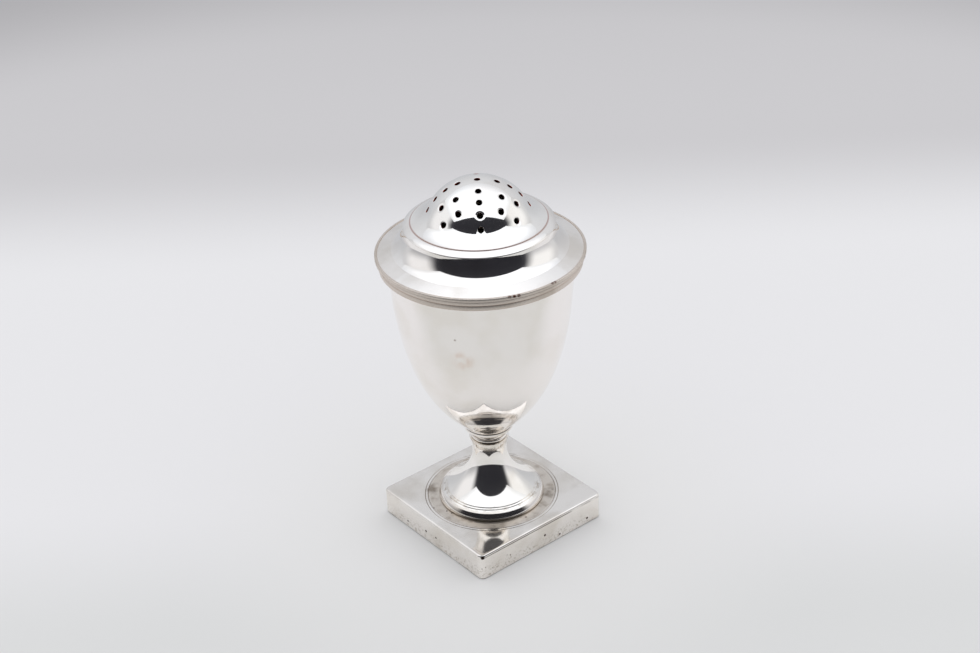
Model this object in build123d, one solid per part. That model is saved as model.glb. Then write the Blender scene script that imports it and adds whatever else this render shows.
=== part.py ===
"""Pounce pot: a small silver urn on a square plinth, with a pierced cover that pulls off.

Sizes are millimetres and +Z is up. The origin is on the axis, at the underside of the plinth.
Round pieces are drawn as half sections, with radius along X and height along Y, and turned.
Sheet pieces are drawn by their outer face, and the sheet's thickness lies inside it.
"""

from build123d import *
from math import atan2, cos, degrees, radians, sin, sqrt
import os

# Plinth, a square plate soldered on a strip bent into four walls, open underneath
plinth_side = 33.0
plinth_height = 5.9
plinth_corner_radius = 1.2
plate_thickness = 0.9
plate_edge_radius = 0.45
apron_wall = 0.9
apron_least_corner_radius = 0.2
apron_foot_radius = 0.2
plinth_line_gap = 3.0
plinth_line_spacing = 0.6
plinth_line_count = 2
line_width = 0.24

# Foot, a trumpet of sheet inside a moulded ring
foot_border = 5.3
foot_ring_wall = 0.9
foot_ring_height = 1.85
foot_ring_flat = 0.05
foot_land = 0.5
foot_height = 14.4
foot_sheet = 0.8
neck_radius = 3.6
neck_length = 2.9
neck_flare = 0.55
sweep_reach = 5.6
sweep_lift = 3.5
sweep_rise = 2.5
foot_line_first = 0.45
foot_line_spacing = 0.5
foot_line_count = 2

# Stem collar, turned solid, between the neck and the bowl
collar_height = 3.2
collar_flange_overhang = 1.5
collar_flange_thickness = 0.6
collar_bead_depth = 0.3
collar_bead_height = 0.8
collar_groove_depth = 0.15
collar_groove_height = 0.1

# Bowl, raised from one sheet, and the reeded band round its mouth
bowl_height = 40.35
bowl_mouth_radius = 18.5
bowl_sheet = 0.7
bowl_floor = 0.8
bowl_flare_out = 2.3
bowl_flare_up = 3.3
bowl_wall_pull = 30.8
band_stand_out = 1.85
reed_height = 1.0
reed_depth = 0.3
reed_count = 2

# Cover, from the sleeve that fits the mouth up to the pierced dome
bezel_depth = 4.0
bezel_wall = 0.6
bezel_clearance = 0.08
bezel_end_gap = 0.4
bezel_edge_radius = 0.2
brim_overhang = 0.6
brim_width = 3.35
brim_wire_width = 0.5
brim_wire_height = 0.8
brim_wire_rounding = 0.24
brim_wire_proud = 0.08
brim_rise = 1.55
shoulder_land = 1.8
shoulder_height = 4.6
shoulder_hollow = 2.95
shoulder_sheet = 0.6
bead_radius = 0.75
bead_inset = 0.4
bead_flat = 0.1
dome_height = 8.65
dome_sheet = 0.6
dome_flare_radius = 6.0
dome_flare_past = 1.43
dome_seat_flat = 0.05
hole_radius = 0.55
drill_overrun = 0.6
hole_first_angle = 20.0
hole_past_meeting = 2.0
arm_count = 4
arm_hole_count = 4
arm_turn = -36.5
cluster_spread = 15.5

# Levels, each worked out from the pieces below it
foot_base = plinth_height
neck_top = foot_base + foot_height
bowl_base = neck_top + collar_height
mouth_top = bowl_base + bowl_height
shoulder_base = mouth_top + brim_rise
bead_base = shoulder_base + shoulder_height
bead_middle = bead_base + bead_radius - bead_flat

# Radii that several pieces share
foot_radius = plinth_side / 2 - foot_border
foot_ring_inner = foot_radius - foot_ring_wall
collar_flange_radius = neck_radius + collar_flange_overhang
band_radius = bowl_mouth_radius + band_stand_out
brim_radius = band_radius + brim_overhang
crease_radius = brim_radius - brim_width
brim_inner_radius = crease_radius - shoulder_land
shoulder_top_radius = crease_radius - shoulder_hollow
wire_inner_radius = brim_radius - brim_wire_width
bead_centre_radius = shoulder_top_radius - bead_inset
dome_edge_radius = bead_centre_radius - bead_radius + dome_seat_flat

# Past every piece, for regions that only trim
FAR = 100.0


def region(*edges):
    """A flat face from edges that close in a ring."""
    return make_face(Wire(edges))


def polygon(*points):
    """A flat face from its corners."""
    return make_face(Polyline(*points, close=True))


def band_of_space(low, high, inner=0.0, outer=FAR):
    """The part of the drawing between two heights and two radii, to trim a section with."""
    return polygon((inner, low), (outer, low), (outer, high), (inner, high))


def turned(section):
    """A solid turned about the axis from a half section."""
    return revolve(Plane.XZ * section, Axis.Z)


def sheet_section(outer_face, thickness, side):
    """The closed section of a sheet whose outer face is given."""
    return make_face(outer_face.offset_2d(thickness, kind=Kind.INTERSECTION, side=side, closed=True))


def scored_line(radius, height):
    """A ring that cuts a fine V line into a face at this radius and height."""
    side = line_width / sqrt(2)
    return turned(Pos(radius, height) * Rot(0, 0, 45) * Rectangle(side, side))


def inner_face(outer_face, thickness, steps=12):
    """The curve of a sheet's inner face, on the left of its outer face."""
    points = []
    for step in range(steps + 1):
        spot = outer_face.position_at(step / steps)
        along = outer_face.tangent_at(step / steps)
        points.append((spot.X - along.Y * thickness, spot.Y + along.X * thickness))
    return Spline(*points)


def radius_at(curve, height, halvings=50):
    """The radius at which a rising outline passes a height."""
    below, above = 0.0, 1.0
    for _ in range(halvings):
        middle = (below + above) / 2
        if curve.position_at(middle).Y < height:
            below = middle
        else:
            above = middle
    return curve.position_at(below).X


def plinth_apron():
    """Four walls under the plate, bent from one strip. The lower outer edge is rubbed round."""
    height = plinth_height - plate_thickness
    outside = RectangleRounded(plinth_side, plinth_side, plinth_corner_radius)
    inside_side = plinth_side - 2 * apron_wall
    inside_radius = max(plinth_corner_radius - apron_wall, apron_least_corner_radius)
    inside = RectangleRounded(inside_side, inside_side, inside_radius)
    block = extrude(outside, height)
    block = fillet(block.faces().sort_by(Axis.Z)[0].edges(), apron_foot_radius)
    return block - extrude(inside, height)


def plinth_plate():
    """The square top, open under the foot, with two fine lines scored round the foot."""
    block = extrude(RectangleRounded(plinth_side, plinth_side, plinth_corner_radius), plate_thickness)
    block = fillet(block.faces().sort_by(Axis.Z)[-1].edges(), plate_edge_radius)
    block = Pos(0, 0, plinth_height - plate_thickness) * block
    block -= turned(band_of_space(0, FAR, outer=foot_ring_inner - foot_land))
    for number in range(plinth_line_count):
        radius = foot_radius + plinth_line_gap - number * plinth_line_spacing
        block -= scored_line(radius, plinth_height)
    return block


def foot_ring():
    """The moulded wire that stiffens the foot's edge."""
    section = band_of_space(foot_base, foot_base + foot_ring_height, foot_ring_inner, foot_radius)
    corner = section.vertices().sort_by(lambda v: v.X + v.Y)[-1]
    return turned(fillet(corner, foot_ring_wall - foot_ring_flat))


def foot_outline():
    """The trumpet's outer face, from the ring in to the waist of the neck, and out again to its top."""
    start = (foot_ring_inner, foot_base + foot_ring_height)
    waist = (neck_radius, neck_top - neck_length)
    sweep = Bezier(
        start,
        (start[0] - sweep_reach, start[1] + sweep_lift),
        (waist[0], waist[1] - sweep_rise),
        waist,
    )
    neck = Bezier(waist, (waist[0], waist[1] + neck_length / 2), (neck_radius + neck_flare, neck_top))
    return Wire([sweep, neck])


def foot():
    """The hollow trumpet. Its wide end is filed upright to butt inside the ring."""
    sweep = foot_outline()
    inside = inner_face(sweep, foot_sheet, steps=24)
    inside_low, inside_high = inside.position_at(0), inside.position_at(1)
    start, end = sweep.position_at(0), sweep.position_at(1)
    butt = Polyline((start.X, start.Y), (start.X, inside_low.Y), (inside_low.X, inside_low.Y))
    neck_end = Line((inside_high.X, inside_high.Y), (end.X, end.Y))
    section = region(*sweep.edges(), neck_end, inside, *butt.edges())
    body = turned(section & band_of_space(foot_base, neck_top))
    for number in range(foot_line_count):
        along = (foot_line_first + number * foot_line_spacing) / sweep.length
        spot = sweep.position_at(along)
        body -= scored_line(spot.X, spot.Y)
    return body


def stem_collar():
    """A groove, a bead and a hollow that opens into the flange under the bowl."""
    groove_radius = neck_radius - collar_groove_depth
    bead_low = neck_top + collar_groove_height
    bead_high = bead_low + collar_bead_height
    flange_low = bowl_base - collar_flange_thickness
    bead = ThreePointArc(
        (groove_radius, bead_low),
        (groove_radius + collar_bead_depth, (bead_low + bead_high) / 2),
        (groove_radius, bead_high),
    )
    hollow = TangentArc((groove_radius, bead_high), (collar_flange_radius, flange_low), tangent=(0, 1))
    rest = Polyline(
        (collar_flange_radius, flange_low),
        (collar_flange_radius, bowl_base),
        (0, bowl_base),
        (0, neck_top),
        (groove_radius, neck_top),
        (groove_radius, bead_low),
    )
    return turned(region(bead, hollow, *rest.edges())) - scored_line(collar_flange_radius, bowl_base)


def bowl_outline():
    """The bowl's outer face: steep from the collar, full in the middle, upright at the mouth."""
    return Bezier(
        (collar_flange_radius, bowl_base),
        (collar_flange_radius + bowl_flare_out, bowl_base + bowl_flare_up),
        (bowl_mouth_radius, mouth_top - bowl_wall_pull),
        (bowl_mouth_radius, mouth_top),
    )


def bowl_body():
    """Everything inside the bowl's outer face, as a flat region."""
    top = (bowl_mouth_radius, mouth_top)
    bottom = (collar_flange_radius, bowl_base)
    ends = Polyline(top, (0, mouth_top), (0, bowl_base), bottom)
    return region(bowl_outline(), *ends.edges())


def mouth_bore_level():
    """The height at which the turned bore in the mouth starts."""
    return mouth_top - bezel_depth - bezel_end_gap


def mouth_bore_radius():
    """The bore's radius: that of the bowl's inner face where the bore starts."""
    return radius_at(inner_face(bowl_outline(), bowl_sheet), mouth_bore_level())


def bowl():
    """The raised bowl, with a thick floor and a short straight bore for the cover's sleeve."""
    inside = inner_face(bowl_outline(), bowl_sheet)
    bottom, top = inside.position_at(0), inside.position_at(1)
    rest = Polyline((bottom.X, bottom.Y), (0, bottom.Y), (0, top.Y), (top.X, top.Y))
    hollow = region(inside, *rest.edges())
    hollow &= band_of_space(bowl_base + bowl_floor, mouth_bore_level())
    bore = band_of_space(mouth_bore_level(), mouth_top, outer=mouth_bore_radius())
    return turned(bowl_body() - hollow - bore) - scored_line(collar_flange_radius, bowl_base)


def mouth_band():
    """Half-round reeds one above the other, soldered round the outside of the mouth."""
    low = mouth_top - reed_count * reed_height
    root = band_radius - reed_depth
    reeds = []
    for number in range(reed_count):
        bottom = low + number * reed_height
        middle = (band_radius, bottom + reed_height / 2)
        reeds.append(ThreePointArc((root, bottom), middle, (root, bottom + reed_height)))
    inside = bowl_mouth_radius - bowl_sheet / 2
    back = Polyline((root, mouth_top), (inside, mouth_top), (inside, low), (root, low))
    return turned(region(*reeds, *back.edges()) - bowl_body())


def cover_bezel():
    """The sleeve that slides into the mouth."""
    outer = mouth_bore_radius() - bezel_clearance
    section = band_of_space(mouth_top - bezel_depth, mouth_top, outer - bezel_wall, outer)
    lower_corners = section.vertices().group_by(Axis.Y)[0]
    return turned(fillet(lower_corners, bezel_edge_radius))


def cover_brim():
    """The ring that rests on the mouth, thinner towards its edge."""
    return turned(
        polygon(
            (brim_inner_radius, mouth_top),
            (wire_inner_radius, mouth_top),
            (wire_inner_radius, mouth_top + brim_wire_height - brim_wire_proud),
            (crease_radius, shoulder_base),
            (brim_inner_radius, shoulder_base),
        )
    )


def brim_wire():
    """The rounded wire that finishes the brim's edge."""
    section = band_of_space(mouth_top, mouth_top + brim_wire_height, wire_inner_radius, brim_radius)
    outer_corners = section.vertices().group_by(Axis.X)[-1]
    return turned(fillet(outer_corners, brim_wire_rounding))


def cover_shoulder():
    """The hollow-curved sheet between the bead and the brim, trimmed flat where it stands on the brim."""
    curve = TangentArc((shoulder_top_radius, bead_base), (crease_radius, shoulder_base), tangent=(0, -1))
    section = sheet_section(Wire([curve]), shoulder_sheet, Side.RIGHT)
    return turned(section & band_of_space(shoulder_base, bead_base))


def dome_bead():
    """A round wire, filed flat where it sits on the shoulder and where the dome's edge meets it."""
    section = Pos(bead_centre_radius, bead_middle) * Circle(bead_radius)
    section &= band_of_space(bead_base, bead_base + FAR, dome_edge_radius, FAR)
    return turned(section)


def dome_arcs():
    """The dome's outer face: the crown's radius and centre, the flare's centre, and where they meet.

    The flare touches the crown, and would come level a little past the dome's edge. The meeting is
    an angle down from the top, in degrees.
    """
    level = bead_middle + dome_sheet / 2
    apex = level + dome_height
    flare_x = dome_edge_radius + dome_flare_past
    flare_y = level + dome_flare_radius
    drop = flare_y - apex
    crown_radius = (flare_x**2 + drop**2 - dome_flare_radius**2) / (2 * (dome_flare_radius - drop))
    crown_height = apex - crown_radius
    meeting = degrees(atan2(flare_x, flare_y - crown_height))
    return crown_radius, crown_height, flare_x, flare_y, meeting


def piercing(polar_angle, turn):
    """A drill through the dome, square to its face, at an angle down from the top."""
    crown_radius, crown_height, _, _, _ = dome_arcs()
    drill = Pos(0, 0, crown_radius) * Cylinder(hole_radius, 2 * (dome_sheet + drill_overrun))
    return Pos(0, 0, crown_height) * Rot(0, 0, turn) * Rot(0, polar_angle, 0) * drill


def piercings():
    """One hole on top, four arms of holes, and a diamond of four holes between each two arms."""
    drills = [piercing(0, 0)]
    meeting = dome_arcs()[-1]
    step_angle = (meeting + hole_past_meeting - hole_first_angle) / (arm_hole_count - 1)
    ring_angles = [hole_first_angle + step * step_angle for step in range(arm_hole_count)]
    for arm in range(arm_count):
        turn = arm_turn + arm * 360 / arm_count
        drills += [piercing(angle, turn) for angle in ring_angles]
        between = turn + 180 / arm_count
        drills += [piercing(ring_angles[1], between), piercing(ring_angles[3], between)]
        drills += [piercing(ring_angles[2], between + side * cluster_spread) for side in (-1, 1)]
    return drills


def pierced_dome():
    """The raised dome: a round crown and a flare with its edge filed upright, drilled all over."""
    crown_radius, crown_height, flare_x, flare_y, meeting = dome_arcs()
    meeting = radians(meeting)
    touch = (crown_radius * sin(meeting), crown_height + crown_radius * cos(meeting))
    crown_middle = (crown_radius * sin(meeting / 2), crown_height + crown_radius * cos(meeting / 2))
    flare_middle = (
        flare_x - dome_flare_radius * sin(meeting / 2),
        flare_y - dome_flare_radius * cos(meeting / 2),
    )
    outer_face = Wire(
        [
            ThreePointArc((0, crown_height + crown_radius), crown_middle, touch),
            ThreePointArc(touch, flare_middle, (flare_x, flare_y - dome_flare_radius)),
        ]
    )
    section = sheet_section(outer_face, dome_sheet, Side.RIGHT)
    return turned(section & band_of_space(0, FAR, outer=dome_edge_radius)) - piercings()


pieces = {
    "plinth_apron": plinth_apron,
    "plinth_plate": plinth_plate,
    "foot_ring": foot_ring,
    "foot": foot,
    "stem_collar": stem_collar,
    "bowl": bowl,
    "mouth_band": mouth_band,
    "cover_bezel": cover_bezel,
    "cover_brim": cover_brim,
    "brim_wire": brim_wire,
    "cover_shoulder": cover_shoulder,
    "dome_bead": dome_bead,
    "pierced_dome": pierced_dome,
}

os.makedirs("parts", exist_ok=True)
for name, make in pieces.items():
    export_step(make(), f"parts/{name}.step")
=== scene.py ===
"""A silver pounce pot: a raised urn on a trumpet foot and a square plinth, under a drilled, domed cover.

Everything is in metres in the part's own frame, +Z up, and mm turns a millimetre into metres.
Outlines are lists of (radius, height), drawn so that the metal lies on their left.
"""

from math import acos, asin, atan2, cos, degrees, hypot, pi, radians, sin, sqrt, tau

import bmesh
import bpy
from mathutils import Matrix, Vector, noise


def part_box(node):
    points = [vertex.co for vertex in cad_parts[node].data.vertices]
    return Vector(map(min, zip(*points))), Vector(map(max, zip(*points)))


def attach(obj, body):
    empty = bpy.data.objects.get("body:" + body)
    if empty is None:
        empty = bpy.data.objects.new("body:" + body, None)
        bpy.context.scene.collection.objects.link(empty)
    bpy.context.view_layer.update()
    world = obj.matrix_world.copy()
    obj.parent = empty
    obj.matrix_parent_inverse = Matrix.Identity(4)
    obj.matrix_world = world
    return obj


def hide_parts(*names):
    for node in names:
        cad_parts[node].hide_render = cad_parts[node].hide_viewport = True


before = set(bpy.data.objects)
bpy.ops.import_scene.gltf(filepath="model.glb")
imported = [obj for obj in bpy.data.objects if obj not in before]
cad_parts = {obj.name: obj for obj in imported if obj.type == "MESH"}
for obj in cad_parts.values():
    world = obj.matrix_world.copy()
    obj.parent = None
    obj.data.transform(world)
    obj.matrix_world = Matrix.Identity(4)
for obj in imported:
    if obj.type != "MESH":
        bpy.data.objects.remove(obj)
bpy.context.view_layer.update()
mm = 0.001

# The view looks down on the pot past one corner of the plinth, through a long lens held a little
# off level.
view_azimuth = radians(51.71)
view_elevation = radians(30.39)
view_roll = radians(-2.59)
view_back = 387.5 * mm
view_left = 0.6 * mm
view_up = 40.1 * mm

camera_data = bpy.data.cameras.new("view")
camera_data.sensor_width = 36
camera_data.lens = 66.12
camera = bpy.data.objects.new("view", camera_data)
facing = Matrix.Rotation(view_azimuth, 4, "Z") @ Matrix.Rotation(pi / 2 - view_elevation, 4, "X")
facing = facing @ Matrix.Rotation(view_roll, 4, "Z")
camera.matrix_world = facing @ Matrix.Translation((-view_left, view_up, view_back))
bpy.context.scene.collection.objects.link(camera)
bpy.context.scene.camera = camera
bpy.context.scene.view_settings.view_transform = "Standard"


# The floor is a sheet of matt white cloth, which runs up into the back of a small light tent. Its colour
# holds painted shade, darker towards the open front, up the back and into the corners, and a painted
# pool of light round the pot, which throws light on it.
floor_radius = 3000 * mm
floor_painted_front_shade = "#DCDDDE"
floor_light_shade = "#E8E8EB"
floor_back_shade = "#CDCCCF"
floor_far_shade = "#C2C1C4"
floor_painted_corner_shade = "#AFAEB1"
floor_painted_glow_shade = "#E9E9EA"
front_shade_at = -40 * mm
light_from = 10 * mm
light_to = 112 * mm
back_shade_at = 190 * mm
far_shade_at = 420 * mm
corner_from = 285 * mm
corner_to = 400 * mm
near_from = 16 * mm
near_to = 75 * mm


def colour(text):
    """A colour written as sRGB hex, as the linear values that a shader takes."""
    parts = [int(text[place:place + 2], 16) / 255 for place in (1, 3, 5)]
    return [part / 12.92 if part <= 0.04045 else ((part + 0.055) / 1.055) ** 2.4 for part in parts] + [1]


def add(tree, kind, inputs={}, **settings):
    """Adds a node with its settings. Each input is given a value, or linked from another node's output."""
    node = tree.nodes.new("ShaderNode" + kind)
    for name, value in settings.items():
        setattr(node, name, value)
    for name, value in inputs.items():
        if isinstance(value, bpy.types.NodeSocket):
            tree.links.new(value, node.inputs[name])
        else:
            node.inputs[name].default_value = value
    return node


def new_material(name):
    """An empty material with its node tree and its output."""
    material = bpy.data.materials.new(name)
    material.use_nodes = True
    material.node_tree.nodes.clear()
    return material, material.node_tree, add(material.node_tree, "OutputMaterial")


def blend(tree, share, below, above):
    """Mixes two colours, each a value or an output."""
    inputs = {"Factor": share, 6: below, 7: above}
    return add(tree, "Mix", inputs, data_type="RGBA").outputs[2]


def ramp(tree, value, low, high, to_low=0.0, to_high=1.0):
    """Turns a range of values into another, with soft ends."""
    inputs = {"Value": value, "From Min": low, "From Max": high, "To Min": to_low, "To Max": to_high}
    return add(tree, "MapRange", inputs, interpolation_type="SMOOTHSTEP").outputs[0]


def place_object(name, mesh, materials):
    """Makes an object of a finished mesh, smooth but for its sharp corners."""
    data = bpy.data.meshes.new(name)
    mesh.to_mesh(data)
    mesh.free()
    for material in materials:
        data.materials.append(material)
    data.shade_smooth()
    data.set_sharp_from_angle(angle=radians(38))
    made = bpy.data.objects.new(name, data)
    bpy.context.scene.collection.objects.link(made)
    return made


cloth, tree, output = new_material("matt white cloth")
object_place = add(tree, "TexCoord").outputs["Object"]
turned_place = add(tree, "Mapping", {"Vector": object_place, "Rotation": (0, 0, -view_azimuth)}).outputs[0]
away = add(tree, "SeparateXYZ", {0: turned_place}).outputs["Y"]
# Painted shade and light: darker towards the open front, the back and the corners, lighter round the pot.
shade = blend(tree, ramp(tree, away, front_shade_at, light_from),
              colour(floor_painted_front_shade), colour(floor_light_shade))
shade = blend(tree, ramp(tree, away, light_to, back_shade_at), shade, colour(floor_back_shade))
shade = blend(tree, ramp(tree, away, back_shade_at, far_shade_at), shade, colour(floor_far_shade))
from_pot = add(tree, "VectorMath", {0: object_place}, operation="LENGTH").outputs["Value"]
shade = blend(tree, ramp(tree, from_pot, corner_from, corner_to), shade, colour(floor_painted_corner_shade))
shade = blend(tree, ramp(tree, from_pot, near_from, near_to, 1.0, 0.0), shade, colour(floor_painted_glow_shade))
tree.links.new(add(tree, "BsdfDiffuse", {"Color": shade}).outputs[0], output.inputs[0])

mesh = bmesh.new()
bmesh.ops.create_circle(mesh, cap_ends=True, radius=floor_radius, segments=96)
place_object("floor", mesh, [cloth])


# The world is an even white light, seen as a pale sky past the cloth.
sky_shade = "#DCDCDF"

world = bpy.data.worlds.new("studio")
world.use_nodes = True
tree = world.node_tree
tree.nodes.clear()
seen = add(tree, "LightPath").outputs
sky = blend(tree, seen["Is Camera Ray"], colour("#FFFFFF"), colour(sky_shade))
light = add(tree, "Background", {"Color": sky})
tree.links.new(light.outputs[0], add(tree, "OutputWorld").inputs[0])
bpy.context.scene.world = world


# The tent stands round the pot and only polished metal sees it: a bright roof, pale sides, a duller
# back, and a dark open front, where the room is unlit. Its shades run into each other at the corners.
tent_front = 150 * mm
tent_back = 205 * mm
tent_half_width = 290 * mm
tent_height = 275 * mm


def panel(name, shades, ends, brightness, soft, rise, middle, across, up, half_across, half_up):
    """A panel of the tent. Its shade goes from one low down to another part of the way up, and fades
    to those of the neighbouring panels at its left and right ends."""
    material, tree, output = new_material(name)
    place = add(tree, "SeparateXYZ", {0: add(tree, "TexCoord").outputs["Object"]}).outputs
    lifted = ramp(tree, place["Y"], -half_up, rise * half_up)
    shade = blend(tree, lifted, colour(shades[0]), colour(shades[1]))
    shade = blend(tree, ramp(tree, place["X"], soft - half_across, -half_across), shade, colour(ends[0]))
    shade = blend(tree, ramp(tree, place["X"], half_across - soft, half_across), shade, colour(ends[1]))
    glow = add(tree, "Emission", {"Color": shade, "Strength": brightness}).outputs[0]
    tree.links.new(glow, output.inputs[0])
    mesh = bmesh.new()
    bmesh.ops.create_grid(mesh, x_segments=1, y_segments=1, size=1)
    bmesh.ops.scale(mesh, vec=(half_across, half_up, 1), verts=mesh.verts)
    made = place_object(name, mesh, [material])
    facing = Matrix((across, up, across.cross(up))).transposed().to_4x4()
    made.matrix_world = Matrix.Translation(middle) @ facing
    made.visible_camera = False
    made.visible_diffuse = False
    made.visible_transmission = False
    made.visible_shadow = False


up = Vector((0, 0, 1))
to_front = Vector((sin(view_azimuth), -cos(view_azimuth), 0))
to_right = Vector((cos(view_azimuth), sin(view_azimuth), 0))
half_depth = (tent_front + tent_back) / 2
tent_middle = to_front * (tent_front - tent_back) / 2
half_up = up * tent_height / 2
wall_middle = tent_middle + half_up
panel("tent_roof", shades=("#CED1D7", "#F2F5FB"), ends=("#D6D8DC", "#DADCDF"), brightness=1.3,
      soft=95 * mm, rise=-0.2, middle=tent_middle + 2 * half_up, across=to_right, up=to_front,
      half_across=tent_half_width, half_up=half_depth)
panel("tent_left", shades=("#B0B1B5", "#F3F3F6"), ends=("#CFD0D4", "#38383D"), brightness=1.0,
      soft=120 * mm, rise=0.0, middle=wall_middle - to_right * tent_half_width, across=to_front, up=up,
      half_across=half_depth, half_up=tent_height / 2)
panel("tent_right", shades=("#CBCBCF", "#FBFBFC"), ends=("#D4D5D8", "#38383D"), brightness=1.0,
      soft=120 * mm, rise=0.0, middle=wall_middle + to_right * tent_half_width, across=to_front, up=up,
      half_across=half_depth, half_up=tent_height / 2)
panel("tent_back", shades=("#C3C5CA", "#DDDFE4"), ends=("#CFD0D4", "#D4D5D8"), brightness=1.0,
      soft=60 * mm, rise=1.0, middle=half_up - to_front * tent_back, across=to_right, up=up,
      half_across=tent_half_width, half_up=tent_height / 2)
panel("tent_front", shades=("#28282D", "#2C2C31"), ends=("#38383D", "#38383D"), brightness=1.0,
      soft=70 * mm, rise=1.0, middle=half_up + to_front * tent_front, across=to_right, up=up,
      half_across=tent_half_width, half_up=tent_height / 2)


# Plinth walls: one strip of sheet silver bent round four corners and soldered, open underneath.
# Handling has rubbed the lower edge and pitted the sides, and a painted shadow runs along the foot of the
# walls.
apron_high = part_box("plinth_apron")[1]
plinth_half = apron_high.x
plinth_corner = 1.2 * mm
least_corner = 0.1 * mm
apron_wall = 0.9 * mm
apron_edge = 0.25 * mm
wall_steps = 12
ring_steps = 512


def square_reach(angle, half, corner):
    """How far the edge of a rounded square lies from its middle, along an angle."""
    across, along = sorted((abs(cos(angle)), abs(sin(angle))))
    straight = half / along
    if straight * across <= half - corner:
        return straight
    middle = half - corner
    return middle * (along + across) + sqrt(corner**2 - (middle * (along - across)) ** 2)


def square_ring(inset):
    """The reach of a ring that keeps this far inside the plinth's sides."""
    corner = max(plinth_corner - inset, least_corner)
    return lambda angle: square_reach(angle, plinth_half - inset, corner)


def ring_shell(rings):
    """A closed shell through rings, each given by its reach along an angle and by its height."""
    mesh = bmesh.new()
    bmesh.ops.create_circle(mesh, segments=ring_steps, radius=1)
    ring, edges = mesh.verts[:], mesh.edges[:]
    for number, (reach, height) in enumerate(rings + rings[:1]):
        if number:
            made = bmesh.ops.extrude_edge_only(mesh, edges=edges)["geom"]
            ring = [item for item in made if isinstance(item, bmesh.types.BMVert)]
            edges = [item for item in made if isinstance(item, bmesh.types.BMEdge)]
        for vert in ring:
            angle = atan2(vert.co.y, vert.co.x)
            vert.co = (reach(angle) * cos(angle), reach(angle) * sin(angle), height)
    return mesh


def arc(middle, radius, start, end, steps=6):
    """Points of an arc from one angle to another, in degrees."""
    angles = [radians(start + (end - start) * step / steps) for step in range(steps + 1)]
    return [(middle[0] + radius * cos(angle), middle[1] + radius * sin(angle)) for angle in angles]


wave_size = 6 * mm
wave_depth = 0.022 * mm
wave_seed = 11
weld_gap = 0.002 * mm
noise.seed_set(wave_seed)


def fit_piece(name, mesh, materials, body, slot, *nodes):
    """Welds a shell shut and puts it on its body in place of its CAD nodes.

    The same slow waves run through every piece, as in metal that is raised and filed by hand, so
    faces that touch stay together.
    """
    bmesh.ops.remove_doubles(mesh, verts=mesh.verts, dist=weld_gap)
    bmesh.ops.recalc_face_normals(mesh, faces=mesh.faces)
    for vert in mesh.verts:
        vert.co += noise.noise_vector(vert.co / wave_size) * wave_depth
    piece = place_object(name, mesh, materials)
    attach(piece, body)
    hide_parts(*nodes)
    return piece


patch_size = 9 * mm
scratch_depth = 0.0004 * mm
scratched_roughness = 0.45


def silver(name, shade, dull_shade, roughness, haze, rub_size, rub_along):
    """Sterling silver, which is metal of a warm white, rubbed with a cloth and rouge to a mirror.

    Years of handling leave it in soft patches, duller and a little browner, and fine scratches give it
    a haze, which is a second, rough mirror. The rubbing runs round a turned piece: rub_along says how
    much the marks pack together along the height and the radius.
    """
    material, tree, output = new_material(name)
    place = add(tree, "TexCoord", name="place").outputs["Object"]
    flat = add(tree, "VectorMath", {0: place, 1: (1, 1, 0)}, operation="MULTIPLY").outputs[0]
    radius = add(tree, "VectorMath", {0: flat}, operation="LENGTH", name="radius").outputs["Value"]
    height = add(tree, "SeparateXYZ", {0: place}, name="height").outputs["Z"]
    patches = add(tree, "TexNoise", {"Vector": place, "Scale": 1 / patch_size, "Detail": 3.0}).outputs[0]
    dullness = ramp(tree, patches, 0.42, 0.72)
    by_height = add(tree, "Math", {0: height, 1: rub_along[0]}, operation="MULTIPLY").outputs[0]
    rubbed = add(tree, "Math", {0: radius, 1: rub_along[1], 2: by_height}, operation="MULTIPLY_ADD")
    layered = add(tree, "CombineXYZ", {"Z": rubbed.outputs[0]}).outputs[0]
    rub_place = add(tree, "VectorMath", {0: flat, 1: layered}, operation="ADD").outputs[0]
    rubs = add(tree, "TexNoise", {"Vector": rub_place, "Scale": 1 / rub_size, "Detail": 4.0}).outputs[0]
    uneven = add(tree, "Math", {0: dullness, 1: ramp(tree, rubs, 0.45, 0.8)}, operation="ADD").outputs[0]
    tint = blend(tree, dullness, colour(shade), colour(dull_shade))
    rough = ramp(tree, uneven, 0.0, 2.0, roughness, 2.2 * roughness)
    bump = add(tree, "Bump", {"Height": rubs, "Strength": 1.0, "Distance": scratch_depth}).outputs[0]
    inputs = {"Base Color": tint, "Metallic": 1.0, "Roughness": rough, "Normal": bump}
    mirror = add(tree, "BsdfPrincipled", inputs, name="mirror").outputs[0]
    inputs = {"Base Color": tint, "Metallic": 1.0, "Roughness": scratched_roughness}
    scratched = add(tree, "BsdfPrincipled", inputs, name="scratched").outputs[0]
    mixed = add(tree, "MixShader", {0: haze, 1: mirror, 2: scratched}).outputs[0]
    tree.links.new(mixed, output.inputs[0])
    return material


def band(material, of, middle, half_width, soft):
    """A mask that is 1 in a band of the radius or the height, and fades beside it."""
    tree = material.node_tree
    node = tree.nodes[of]
    value = node.outputs["Value" if of == "radius" else "Z"]
    off = add(tree, "Math", {0: value, 1: middle}, operation="SUBTRACT").outputs[0]
    distance = add(tree, "Math", {0: off}, operation="ABSOLUTE").outputs[0]
    return ramp(tree, distance, half_width, half_width + soft, 1.0, 0.0)


def both(material, first, second):
    """A mask that is 1 where two others are."""
    return add(material.node_tree, "Math", {0: first, 1: second}, operation="MULTIPLY").outputs[0]


def broken(material, mask, size, low, high):
    """Breaks a mask up into blotches of this size."""
    tree = material.node_tree
    place = tree.nodes["place"].outputs["Object"]
    blotches = add(tree, "TexNoise", {"Vector": place, "Scale": 1 / size, "Detail": 5.0}).outputs[0]
    return both(material, mask, ramp(tree, blotches, low, high))


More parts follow.
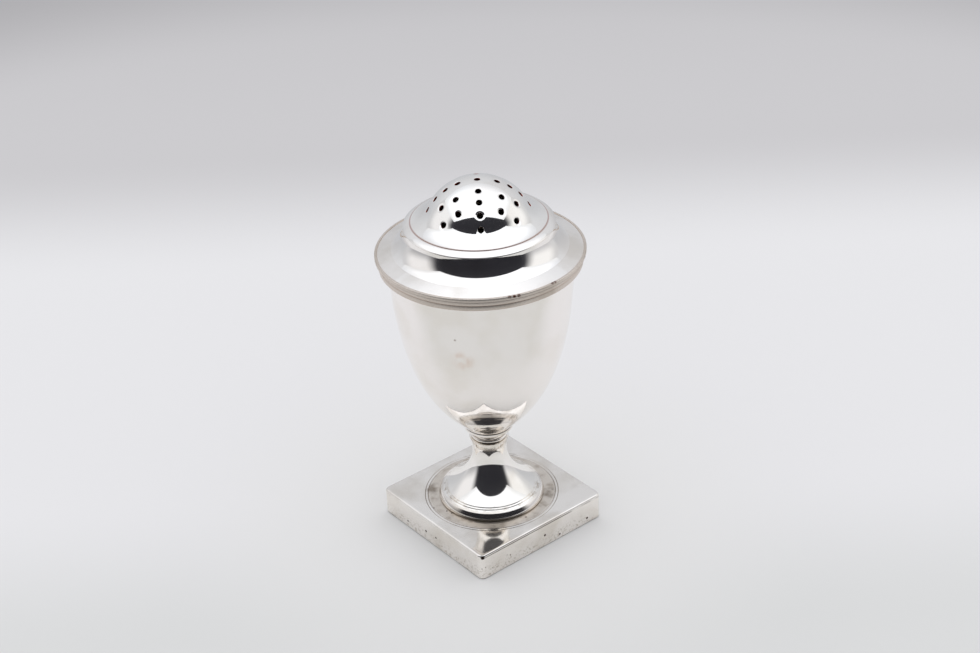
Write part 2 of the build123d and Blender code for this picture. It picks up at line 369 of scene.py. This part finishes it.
def spot(material, place, size, soft):
    """A mask that is 1 round a point of the piece."""
    tree = material.node_tree
    inputs = {0: tree.nodes["place"].outputs["Object"], 1: place}
    distance = add(tree, "VectorMath", inputs, operation="DISTANCE").outputs["Value"]
    return ramp(tree, distance, size, size + soft, 1.0, 0.0)


def film(material, mask, shade, roughness):
    """Lays tarnish, dirt and painted shade over a finish where the mask is 1."""
    tree = material.node_tree
    mirror, scratched = tree.nodes["mirror"].inputs, tree.nodes["scratched"].inputs
    tint = blend(tree, mask, mirror["Base Color"].links[0].from_socket, colour(shade))
    tree.links.new(tint, mirror["Base Color"])
    tree.links.new(tint, scratched["Base Color"])
    smooth = mirror["Roughness"].links[0].from_socket
    rough = add(tree, "Mix", {"Factor": mask, 2: smooth, 3: roughness}).outputs[0]
    tree.links.new(rough, mirror["Roughness"])


# Pits are dark dots a few tenths of a millimetre across. The largest stand where the photograph shows
# them, and small ones are scattered near the lower edge.
pit_spacing = 0.8 * mm
pit_share = 0.26
pit_rim = 0.06
pit_patch = 3.5 * mm
pit_sizes = (0.16 * mm, 0.21 * mm)
pit_places = [
    (-8.3, -16.5, 1.6), (-2.0, -16.5, 2.4), (1.4, -16.5, 2.5),
    (16.5, 0.6, 2.9), (16.5, 4.7, 1.1), (16.5, 12.4, 1.4),
]
worn_patch = 0.45 * mm
small_pit_shade = "#73685E"
pit_shade = "#4E443D"
worn_shade = "#D0C8BD"
contact_shadow_shade = "#5A5049"

apron_silver = silver("worn sterling silver", "#FAF6F1", "#E9E3DA", roughness=0.07, haze=0.12,
                      rub_size=0.9 * mm, rub_along=(9, 0))
tree = apron_silver.node_tree
place = tree.nodes["place"].outputs["Object"]
pit_cells = add(tree, "TexVoronoi", {"Vector": place, "Scale": 1 / pit_spacing, "Randomness": 1.0})
pit_size = add(tree, "Math", {0: pit_cells.outputs["Color"], 1: pit_share}, operation="MULTIPLY").outputs[0]
pit_dots = add(tree, "Math", {0: pit_cells.outputs["Distance"], 1: pit_size}, operation="SUBTRACT").outputs[0]
pits = ramp(tree, pit_dots, -pit_rim, 0.0, 1.0, 0.0)
pits = both(apron_silver, pits, band(apron_silver, "height", 1.2 * mm, 1.2 * mm, 1.6 * mm))
worn = band(apron_silver, "height", 0.5 * mm, 0.8 * mm, 2.6 * mm)
film(apron_silver, broken(apron_silver, worn, worn_patch, 0.51, 0.66), worn_shade, 0.2)
film(apron_silver, broken(apron_silver, pits, pit_patch, 0.46, 0.56), small_pit_shade, 0.35)
# Painted shadow: a thin dark line along the foot of the walls, where they stand on the floor.
film(apron_silver, band(apron_silver, "height", 0.0, 0.1 * mm, 0.15 * mm), contact_shadow_shade, 0.4)
for number, pit in enumerate(pit_places):
    size = pit_sizes[number % 2]
    film(apron_silver, spot(apron_silver, Vector(pit) * mm, size, 0.12 * mm), pit_shade, 0.4)

wall_drop = apron_high.z - apron_edge
wall_rings = [(square_ring(0), apron_high.z - wall_drop * step / wall_steps)
              for step in range(wall_steps + 1)]
wall_rings += [(square_ring(apron_edge - reach), height)
               for reach, height in arc((0, apron_edge), apron_edge, 0, -90, 4)[1:]]
wall_rings += [(square_ring(apron_wall), 0.0), (square_ring(apron_wall), apron_high.z)]
fit_piece("plinth_walls", ring_shell(wall_rings), [apron_silver], "pot", "pitted_silver", "plinth_apron")


# Plinth top: a square of the same sheet, open under the foot, with its edges filed round. Two fine
# lines are scored round the foot, and tarnish has settled between them and the foot.
plate_low, plate_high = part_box("plinth_plate")
plate_hole = 9.8 * mm
plate_edge = 0.45 * mm
score_radii = [14.2 * mm, 13.6 * mm]
score_half = 0.09 * mm
tarnish_ring = 12.2 * mm
tarnish_places = [(12.8, -133.5), (12.5, -141.0), (12.4, 48.0), (12.3, 40.0)]
dirt_places = [(11.7, -93.5), (11.4, -87.2), (12.2, -3.7), (13.45, -104.7)]
flat_rings = [plate_hole, 11.2 * mm, 12.4 * mm]
outer_flat = 0.9 * mm
spread_steps = 7


def circle(radius):
    """The reach of a round ring."""
    return lambda angle: radius


def between(inner, outer, share):
    """The reach of a ring part of the way from one ring to another."""
    return lambda angle: inner(angle) * (1 - share) + outer(angle) * share


def turned_to(radius, turn, height):
    """A point this far from the axis, at a turn round it in degrees."""
    return Vector((radius * cos(radians(turn)), radius * sin(radians(turn)), height))


top_silver = silver("scratched sterling silver", "#F9F5F0", "#E8E2DA", roughness=0.055, haze=0.15,
                    rub_size=1.4 * mm, rub_along=(0, 0))
ring_of_tarnish = band(top_silver, "radius", tarnish_ring, 1.0 * mm, 0.6 * mm)
film(top_silver, ring_of_tarnish, "#DFD7CD", 0.3)
film(top_silver, broken(top_silver, ring_of_tarnish, 2 * mm, 0.45, 0.8), "#B5A99C", 0.34)
for radius, turn in tarnish_places:
    patch = spot(top_silver, turned_to(radius * mm, turn, plate_high.z), 0.4 * mm, 1.3 * mm)
    film(top_silver, broken(top_silver, patch, 2.4 * mm, 0.3, 0.7), "#8E8275", 0.35)
for radius, turn in dirt_places:
    speck = spot(top_silver, turned_to(radius * mm, turn, plate_high.z), 0.12 * mm, 0.1 * mm)
    film(top_silver, speck, "#4A3C35", 0.4)
for radius in score_radii:
    film(top_silver, band(top_silver, "radius", radius, 0.02 * mm, 0.07 * mm), "#9D9388", 0.3)

# Solder and dirt show as a dark line under the filed edge on one side, and at the corner beside it.
solder_height = 5.33 * mm
solder_from = 16.2 * mm
solder_to = 16.4 * mm
dark_corner = Vector((16.35, -15.95, 5.4)) * mm

tree = top_silver.node_tree
across = add(tree, "SeparateXYZ", {0: tree.nodes["place"].outputs["Object"]}).outputs["X"]
line = both(top_silver, band(top_silver, "height", solder_height, 0.05 * mm, 0.08 * mm),
            ramp(tree, across, solder_from, solder_to))
film(top_silver, broken(top_silver, line, 6 * mm, 0.3, 0.5), "#453B35", 0.45)
film(top_silver, spot(top_silver, dark_corner, 0.3 * mm, 0.25 * mm), "#2E2521", 0.4)

top = plate_high.z
plate_rings = [(circle(radius), top) for radius in flat_rings]
for radius in reversed(score_radii):
    plate_rings += [(circle(radius - score_half), top), (circle(radius), top - score_half),
                    (circle(radius + score_half), top)]
last_round, first_square = circle(score_radii[0] + score_half), square_ring(outer_flat)
plate_rings += [(between(last_round, first_square, step / spread_steps), top)
                for step in range(1, spread_steps + 1)]
plate_rings += [(square_ring(plate_edge - reach), top - plate_edge + height)
                for reach, height in arc((0, 0), plate_edge, 90, 0, 6)]
plate_rings += [(square_ring(0), plate_low.z), (circle(plate_hole), plate_low.z)]
fit_piece("plinth_top", ring_shell(plate_rings), [top_silver], "pot", "plinth_silver", "plinth_plate")


# Foot moulding: a low, sloping wire bent round the wide end of the foot and soldered to foot and
# plinth. Its edge is filed to a narrow lip, and tarnish lies in the corner under it.
moulding_low, moulding_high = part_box("foot_ring")
moulding_wall = 0.9 * mm
moulding_edge = 0.5 * mm
moulding_slope = 3.35 * mm
slope_turns = (15, 36)
moulding_lip = 0.1 * mm
lip_turn = 58
turning_steps = 256


def turned(*outlines, steps=turning_steps):
    """Spins outlines round the axis into one shell, as on a lathe. Each outline has its own finish."""
    mesh = bmesh.new()
    for finish, outline in enumerate(outlines):
        ready = len(mesh.faces)
        points = [mesh.verts.new((radius, 0, height)) for radius, height in outline]
        edges = [mesh.edges.new(pair) for pair in zip(points, points[1:])]
        bmesh.ops.spin(mesh, geom=points + edges, cent=(0, 0, 0), axis=(0, 0, 1), angle=tau,
                       steps=steps, use_merge=True)
        for face in list(mesh.faces)[ready:]:
            face.material_index = finish
    return mesh


moulding_silver = silver("tarnished sterling silver", "#F7F2EC", "#DDD5CA", roughness=0.05, haze=0.04,
                         rub_size=0.5 * mm, rub_along=(12, 0))
film(moulding_silver, band(moulding_silver, "height", moulding_low.z, 0.08 * mm, 0.35 * mm), "#8D8174", 0.3)
outer = moulding_high.x
inner = outer - moulding_wall
moulding = [(inner, moulding_low.z), (outer, moulding_low.z)]
slope_middle = (outer - moulding_slope * cos(radians(slope_turns[0])),
                moulding_low.z + moulding_edge - moulding_slope * sin(radians(slope_turns[0])))
moulding += arc(slope_middle, moulding_slope, *slope_turns, 8)
lip_middle = (moulding[-1][0] - moulding_lip * cos(radians(slope_turns[1])),
              moulding[-1][1] - moulding_lip * sin(radians(slope_turns[1])))
moulding += arc(lip_middle, moulding_lip, slope_turns[1], lip_turn, 3)[1:]
moulding += [(inner, moulding_high.z), (inner, moulding_low.z)]
fit_piece("foot_moulding", turned(moulding), [moulding_silver], "pot", "tarnished_silver", "foot_ring")


# Foot: a trumpet of sheet silver, hollow underneath, turned on a lathe. Two fine lines run round
# its wide end.
foot_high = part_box("foot")[1]
foot_sheet = 0.8 * mm
neck_radius = 3.6 * mm
neck_length = 2.9 * mm
neck_flare = 0.55 * mm
sweep_reach = 5.6 * mm
sweep_lift = 3.5 * mm
sweep_rise = 2.5 * mm
foot_lines = [0.45 * mm, 0.95 * mm]
line_width = 0.2 * mm


def curve(start, start_pull, end_pull, end, steps):
    """Points of a curve that leaves its ends towards their pulls."""
    points = [Vector(point) for point in (start, start_pull, end_pull, end)]
    shares = [step / steps for step in range(steps + 1)]
    weights = [((1 - t) ** 3, 3 * t * (1 - t) ** 2, 3 * t * t * (1 - t), t**3) for t in shares]
    spots = [sum((point * weight for point, weight in zip(points, row)), Vector((0, 0))) for row in weights]
    return [(spot.x, spot.y) for spot in spots]


def inside(outline, thickness):
    """The inner face of a sheet, on the left of its outline, drawn the same way."""
    moved = []
    for number, (radius, height) in enumerate(outline):
        before = outline[max(number - 1, 0)]
        after = outline[min(number + 1, len(outline) - 1)]
        run, rise = after[0] - before[0], after[1] - before[1]
        length = hypot(run, rise)
        moved.append((radius - rise * thickness / length, height + run * thickness / length))
    return moved


def scored(outline, places, width):
    """Cuts fine V lines into an outline, each at a distance along it."""
    cut, travelled = [outline[0]], 0.0
    waiting = sorted(places)
    for before, after in zip(outline, outline[1:]):
        run, rise = after[0] - before[0], after[1] - before[1]
        length = hypot(run, rise)
        while waiting and waiting[0] <= travelled + length:
            share = (waiting.pop(0) - travelled) / length
            radius, height = before[0] + run * share, before[1] + rise * share
            along = (run / length * width / 2, rise / length * width / 2)
            cut += [(radius - along[0], height - along[1]), (radius - along[1], height + along[0]),
                    (radius + along[0], height + along[1])]
        travelled += length
        cut.append(after)
    return cut


foot_silver = silver("turned sterling silver", "#FBF8F3", "#EFEAE2", roughness=0.045, haze=0.03,
                     rub_size=0.35 * mm, rub_along=(14, 6))
worn = band(foot_silver, "radius", 10.2 * mm, 0.3 * mm, 1.0 * mm)
film(foot_silver, broken(foot_silver, worn, 1.5 * mm, 0.46, 0.66), "#DFD8CF", 0.1)
wide_end = (moulding_high.x - moulding_wall, moulding_high.z)
waist = (neck_radius, foot_high.z - neck_length)
sweep = curve(wide_end, (wide_end[0] - sweep_reach, wide_end[1] + sweep_lift),
              (waist[0], waist[1] - sweep_rise), waist, 72)
neck_top = (neck_radius + neck_flare, foot_high.z)
sweep += curve(waist, (waist[0], waist[1] + neck_length / 3),
               (waist[0] + neck_flare / 3, waist[1] + 2 * neck_length / 3), neck_top, 14)[1:]
hollow = [point for point in inside(sweep, foot_sheet) if point[1] < foot_high.z]
foot = scored(sweep, foot_lines, line_width) + [(hollow[-1][0], foot_high.z)] + hollow[::-1]
foot += [(wide_end[0], hollow[0][1]), wide_end]
fit_piece("trumpet_foot", turned(foot), [foot_silver], "pot", "foot_silver", "foot")


# Stem collar: a turned collar between the foot and the bowl, with a groove, a bead and a flange.
collar_low, collar_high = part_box("stem_collar")
flange_radius = collar_high.x
flange_thickness = 0.6 * mm
groove_radius = 3.45 * mm
bead_from = 0.1 * mm
bead_height = 0.8 * mm
bead_depth = 0.3 * mm
bead_step = 0.02 * mm
seam_chamfer = 0.12 * mm


def upright_sweep(start, end, steps, thickness=0.0):
    """An arc that leaves its start upright and passes through its end, or the arc of its back face."""
    run, rise = end[0] - start[0], end[1] - start[1]
    radius = (run * run + rise * rise) / (2 * run)
    outer = radius + thickness
    turn = degrees(asin(abs(rise) / outer))
    return arc((start[0] + radius, start[1]), outer, 180, 180 - turn if rise > 0 else 180 + turn, steps)


def bulge(radius, low, high, depth, steps):
    """A half-round moulding that stands out of an upright face between two heights."""
    half = (high - low) / 2
    round_radius = (half * half + depth * depth) / (2 * depth)
    turn = degrees(asin(half / round_radius))
    return arc((radius + depth - round_radius, low + half), round_radius, -turn, turn, steps)


bead_low = collar_low.z + bead_from
flange_low = collar_high.z - flange_thickness
seam_shade = "#3B332E"

collar_silver = silver("turned sterling silver, stem", "#F8F3ED", "#E0D8CD", roughness=0.06, haze=0.12,
                       rub_size=0.3 * mm, rub_along=(14, 6))
for edge in (bead_low, bead_low + bead_height):
    film(collar_silver, band(collar_silver, "height", edge, 0.02 * mm, 0.08 * mm), "#B5AA9F", 0.3)
film(collar_silver, band(collar_silver, "height", collar_high.z, 0.06 * mm, 0.1 * mm), seam_shade, 0.45)
collar = [(0, collar_low.z), (groove_radius, collar_low.z), (groove_radius, bead_low - bead_step)]
collar += bulge(groove_radius, bead_low, bead_low + bead_height, bead_depth, 10)
collar += upright_sweep((groove_radius, bead_low + bead_height), (flange_radius, flange_low), 12)
collar += [(flange_radius, collar_high.z - seam_chamfer), (flange_radius - seam_chamfer, collar_high.z)]
collar += [(0, collar_high.z)]
fit_piece("turned_collar", turned(collar), [collar_silver], "pot", "foot_silver", "stem_collar")


# Bowl: the urn, raised from one round of sheet silver with a hammer and polished smooth. It is
# dull inside, where the powder was kept, and has a short turned bore for the cover's sleeve.
bowl_low, bowl_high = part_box("bowl")
bowl_sheet = 0.7 * mm
bowl_floor = 0.8 * mm
bowl_pull_out = 2.3 * mm
bowl_pull_up = 3.3 * mm
bowl_pull_down = 30.8 * mm
sleeve_gap = 0.08 * mm
bore_depth = 4.4 * mm
stain_place = Vector((10.5, -13.9, 48.8)) * mm
speck_place = Vector((10.0, -15.1, 53.8)) * mm
rim_edge = 0.12 * mm

bowl_silver = silver("raised sterling silver", "#FCF8F4", "#F5F0E9", roughness=0.045, haze=0.04,
                     rub_size=0.8 * mm, rub_along=(10, 4))
film(bowl_silver, band(bowl_silver, "height", bowl_low.z, 0.05 * mm, 0.16 * mm), seam_shade, 0.45)
stain = spot(bowl_silver, stain_place, 0.8 * mm, 2.2 * mm)
film(bowl_silver, broken(bowl_silver, stain, 2 * mm, 0.35, 0.7), "#EBD9CC", 0.12)
film(bowl_silver, spot(bowl_silver, speck_place, 0.1 * mm, 0.25 * mm), "#BFB5AC", 0.2)
inside_silver = silver("dull sterling silver", "#D8D1C5", "#A99F90", roughness=0.3, haze=0.3,
                       rub_size=1.2 * mm, rub_along=(4, 0))

mouth = (bowl_high.x, bowl_high.z)
bore_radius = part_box("cover_bezel")[1].x + sleeve_gap
wall = curve((flange_radius, bowl_low.z), (flange_radius + bowl_pull_out, bowl_low.z + bowl_pull_up),
             (mouth[0], mouth[1] - bowl_pull_down), mouth, 64)
outside = [(0, bowl_low.z), (flange_radius - seam_chamfer, bowl_low.z)]
outside += [point for point in wall if bowl_low.z + seam_chamfer < point[1] < mouth[1] - rim_edge]
outside += [(mouth[0], mouth[1] - rim_edge), (mouth[0] - rim_edge, mouth[1])]
outside += [(bore_radius + rim_edge, mouth[1]), (bore_radius, mouth[1] - rim_edge)]
floor_height = bowl_low.z + bowl_floor
lining = [(bore_radius, mouth[1] - rim_edge), (bore_radius, mouth[1] - bore_depth)]
lining += [point for point in inside(wall, bowl_sheet)[::-1]
           if floor_height < point[1] < mouth[1] - bore_depth]
lining += [(0, floor_height)]
fit_piece("urn_bowl", turned(outside, lining), [bowl_silver, inside_silver], "pot", "bowl_silver", "bowl")


# Reeded band: two shallow reeds, drawn as one wire and soldered round the mouth. The drawing leaves
# it duller than the polished sheet, tarnish lies in its grooves, and painted shade darkens the gap under the
# cover.
band_low, band_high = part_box("mouth_band")
reed_count = 2
reed_depth = 0.03 * mm
reed_groove = 0.1 * mm
groove_depth = 0.01 * mm

band_silver = silver("drawn sterling silver", "#DDD3C9", "#CEC3B7", roughness=0.25, haze=0.65,
                     rub_size=0.4 * mm, rub_along=(12, 0))
on_face = band(band_silver, "radius", band_high.x + 0.3 * mm, 0.35 * mm, 0.2 * mm)
reed_height = (band_high.z - band_low.z) / reed_count
for number in range(reed_count + 1):
    groove = band(band_silver, "height", band_low.z + number * reed_height, 0.03 * mm, 0.12 * mm)
    film(band_silver, both(band_silver, groove, on_face), "#C2B1A4", 0.55)
# Painted shade in the gap where the cover's wire sits on the band, on both faces.
cover_gap_shade = band(band_silver, "height", band_high.z, 0.07 * mm, 0.12 * mm)
film(band_silver, both(band_silver, cover_gap_shade, on_face), "#46332A", 0.5)
reeds = [(mouth[0], band_low.z)]
face = band_high.x - reed_depth
for number in range(reed_count):
    low = band_low.z + number * reed_height
    reeds += [(face - groove_depth, low)]
    reeds += bulge(face, low + reed_groove / 2, low + reed_height - reed_groove / 2, reed_depth, 12)
reeds += [(face - groove_depth, band_high.z), (mouth[0], band_high.z), (mouth[0], band_low.z)]
fit_piece("reeded_band", turned(reeds), [band_silver], "pot", "bowl_silver", "mouth_band")


# Sleeve: a ring of sheet under the brim, which slides into the mouth and holds the cover on.
sleeve_low, sleeve_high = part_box("cover_bezel")
sleeve_wall = 0.6 * mm
sleeve_edge = 0.2 * mm

cover_silver = silver("buffed sterling silver", "#FCF9F5", "#F2EDE7", roughness=0.04, haze=0.02,
                      rub_size=0.7 * mm, rub_along=(-6, 8))
outer = sleeve_high.x
inner = outer - sleeve_wall
sleeve = arc((inner + sleeve_edge, sleeve_low.z + sleeve_edge), sleeve_edge, 180, 270, 4)
sleeve += arc((outer - sleeve_edge, sleeve_low.z + sleeve_edge), sleeve_edge, 270, 360, 4)
sleeve += [(outer, sleeve_high.z), (inner, sleeve_high.z), sleeve[0]]
fit_piece("sleeve", turned(sleeve), [cover_silver], "cover", "cover_silver", "cover_bezel")


# Brim: a ring of sheet that rests on the mouth and slopes up to the shoulder, with a rounded wire
# soldered round its edge. The solder shows as a fine pinkish line just inside the wire, which is
# drawn like the reeds and has dark nicks in it.
brim_low, brim_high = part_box("cover_brim")
wire_low, wire_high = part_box("brim_wire")
crease_radius = 17.6 * mm
brim_inner = 15.8 * mm
brim_tuck = 0.25 * mm
brim_edge_thickness = 0.72 * mm
wire_round = 0.16 * mm
slope_steps = 8
nick_places = [(20.85, -24.0, 64.55), (20.9, -21.5, 64.5), (20.85, -19.0, 64.5),
               (20.6, 2.0, 64.6), (20.65, 4.0, 64.6), (20.8, 37.5, 64.1)]

brim_silver = silver("buffed sterling silver, brim", "#FAF6F1", "#E9E3DB", roughness=0.05, haze=0.08,
                     rub_size=0.9 * mm, rub_along=(0, 9))
brim_edge = brim_high.x
film(brim_silver, band(brim_silver, "radius", brim_edge, 0.02 * mm, 0.08 * mm), "#E0D0C6", 0.2)
for radius, turn, height in nick_places:
    nick = spot(band_silver, turned_to(radius * mm, turn, height * mm), 0.18 * mm, 0.3 * mm)
    film(band_silver, broken(band_silver, nick, 0.7 * mm, 0.3, 0.5), "#5E3A31", 0.5)
brim = [(brim_inner, brim_low.z), (brim_edge, brim_low.z), (brim_edge, brim_low.z + brim_edge_thickness)]
rise = brim_high.z - brim[-1][1]
run = crease_radius - brim_edge
brim += [(brim_edge + run * step / slope_steps, brim_high.z - rise * (1 - step / slope_steps))
         for step in range(1, slope_steps + 1)]
tucked = crease_radius - brim_tuck
brim += [(tucked, brim_high.z - brim_tuck * rise / run), (tucked, brim_high.z)]
brim += [(brim_inner, brim_high.z), (brim_inner, brim_low.z)]
fit_piece("brim", turned(brim), [brim_silver], "cover", "cover_silver", "cover_brim")

outer = wire_high.x
wire = [(brim_edge, wire_low.z)]
wire += arc((outer - wire_round, wire_low.z + wire_round), wire_round, 270, 360, 5)
wire += arc((outer - wire_round, wire_high.z - wire_round), wire_round, 0, 90, 5)
wire += [(brim_edge, wire_high.z), (brim_edge, wire_low.z)]
fit_piece("brim_edge_wire", turned(wire), [band_silver], "cover", "cover_silver", "brim_wire")


# Shoulder: sheet silver drawn in to a hollow curve, which lifts the dome above the brim.
shoulder_low, shoulder_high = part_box("cover_shoulder")
shoulder_top = 14.65 * mm
shoulder_sheet = 0.6 * mm

head, toe = (shoulder_top, shoulder_high.z), (crease_radius, shoulder_low.z)
front = upright_sweep(head, toe, 32)
back = upright_sweep(head, toe, 32, shoulder_sheet)
back = [point for point in back if point[1] >= shoulder_low.z]
shoulder = front[::-1] + back + [front[-1]]
fit_piece("hollow_shoulder", turned(shoulder), [cover_silver], "cover", "cover_silver", "cover_shoulder")


# Bead: a wire between the shoulder and the dome, worn to a low round, and filed flat where it meets
# them.
bead_base, bead_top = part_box("dome_bead")
bead_inner = 13.55 * mm
bead_inner_height = bead_base.z + 1.0 * mm
bead_inner_slant = 0.2 * mm
bead_edge = 0.16 * mm
bead_outer_turn = 46
joint_shade = "#CFB7B1"

film(cover_silver, band(cover_silver, "radius", bead_inner, 0.04 * mm, 0.2 * mm), joint_shade, 0.2)
edge_middle = (bead_top.x - bead_edge, bead_base.z + bead_edge)
bead = arc(edge_middle, bead_edge, -80, bead_outer_turn, 8)
run, rise = bead[-1][0] - bead_inner, bead_inner_height - bead[-1][1]
bead_curve = hypot(run, rise) / (2 * sin(pi / 2 - atan2(rise, run) - radians(bead_outer_turn)))
curve_middle = (bead[-1][0] - bead_curve * cos(radians(bead_outer_turn)),
                bead[-1][1] - bead_curve * sin(radians(bead_outer_turn)))
inner_turn = degrees(atan2(bead_inner_height - curve_middle[1], bead_inner - curve_middle[0]))
bead += arc(curve_middle, bead_curve, bead_outer_turn, inner_turn, 14)[1:]
bead += [(bead_inner, bead_base.z + bead_edge), (bead_inner + bead_inner_slant, bead_base.z), bead[0]]
fit_piece("round_bead", turned(bead), [cover_silver], "cover", "cover_silver", "dome_bead")


# Dome: raised and burnished, then drilled by hand in four arms of holes with four more between each
# two. The drill turned the metal in a little round every hole, and tarnish browns their walls.
dome_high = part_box("pierced_dome")[1]
dome_sheet = 0.6 * mm
dome_height = 8.65 * mm
dome_sink = 0.45 * mm
dome_steps = 320
flare_radius = 6.0 * mm
flare_past = 1.43 * mm
hole_radius = 0.62 * mm
lip_width = 0.42 * mm
lip_depth = 0.1 * mm
arm_turn = -36.5
ring_angles = [20, 34, 48, 62]
cluster_spread = 15.5

level = bead_top.z - dome_sink
flare = (dome_high.x + flare_past, level + flare_radius)
drop = flare_radius - dome_height
crown_radius = (flare[0] ** 2 + drop**2 - flare_radius**2) / (2 * (flare_radius - drop))
crown = (0, level + dome_height - crown_radius)
meeting = degrees(atan2(flare[1] - crown[1], flare[0]))

hole_places = [(0, 0)]
for arm in range(4):
    turn = arm_turn + arm * 90
    hole_places += [(angle, turn) for angle in ring_angles]
    hole_places += [(ring_angles[1], turn + 45), (ring_angles[3], turn + 45)]
    hole_places += [(ring_angles[2], turn + 45 + side * cluster_spread) for side in (-1, 1)]

dome_silver = silver("burnished sterling silver", "#FCFAF6", "#F4F0EB", roughness=0.035, haze=0.02,
                     rub_size=0.6 * mm, rub_along=(-6, 8))
film(dome_silver, band(dome_silver, "radius", bead_inner, 0.04 * mm, 0.16 * mm), joint_shade, 0.2)
hole_brown = silver("tarnished sterling silver, holes", "#8A3A28", "#4A2018", roughness=0.4, haze=0.3,
                    rub_size=0.3 * mm, rub_along=(0, 0))
dome_finishes = [dome_silver, inside_silver, hole_brown]
edge_turn = 180 + degrees(acos(flare_past / flare_radius))
under_turn = 180 + degrees(acos(flare_past / (flare_radius + dome_sheet)))
face = arc(crown, crown_radius, 90, meeting, 72)
face += arc(flare, flare_radius, 180 + meeting, edge_turn, 24)[1:]
under = [face[-1]]
under += arc(flare, flare_radius + dome_sheet, under_turn, 180 + meeting, 10)
under += arc(crown, crown_radius - dome_sheet, meeting, 90, 24)[1:]
mesh = turned(face, under, steps=dome_steps)


def aim(down, turn):
    """Tilts an upright drill away from the crown, then turns it round the dome, in degrees."""
    return Matrix.Rotation(radians(turn), 4, "Z") @ Matrix.Rotation(radians(down), 4, "Y")


crown_middle = Vector((0, 0, crown[1]))
axes = [aim(down, turn) @ up for down, turn in hole_places]
for vert in mesh.verts:
    arm = vert.co - crown_middle
    if arm.length < crown_radius - dome_sheet / 2:
        continue
    for axis in axes:
        away_from_axis = (arm - axis * arm.dot(axis)).length if arm.dot(axis) > 0 else crown_radius
        nearness = 1 - (away_from_axis - hole_radius) / lip_width
        if nearness > 0:
            vert.co -= axis * lip_depth * min(nearness, 1) ** 2
dome = fit_piece("drilled_dome", mesh, dome_finishes, "cover", "dome_silver", "pierced_dome")

drills = bmesh.new()
for down, turn in hole_places:
    seat = Matrix.Translation(crown_middle) @ aim(down, turn) @ Matrix.Translation((0, 0, crown_radius))
    bmesh.ops.create_cone(drills, cap_ends=True, segments=32, radius1=hole_radius, radius2=hole_radius,
                          depth=4 * dome_sheet, matrix=seat)
for drill_face in drills.faces:
    drill_face.material_index = dome_finishes.index(hole_brown)
cutter = place_object("drills", drills, dome_finishes)
cut = dome.modifiers.new("holes", "BOOLEAN")
cut.operation = "DIFFERENCE"
cut.solver = "EXACT"
cut.object = cutter
ready = bpy.context.evaluated_depsgraph_get()
drilled = bpy.data.meshes.new_from_object(dome.evaluated_get(ready))
dome.modifiers.remove(cut)
dome.data = drilled
bpy.data.objects.remove(cutter)
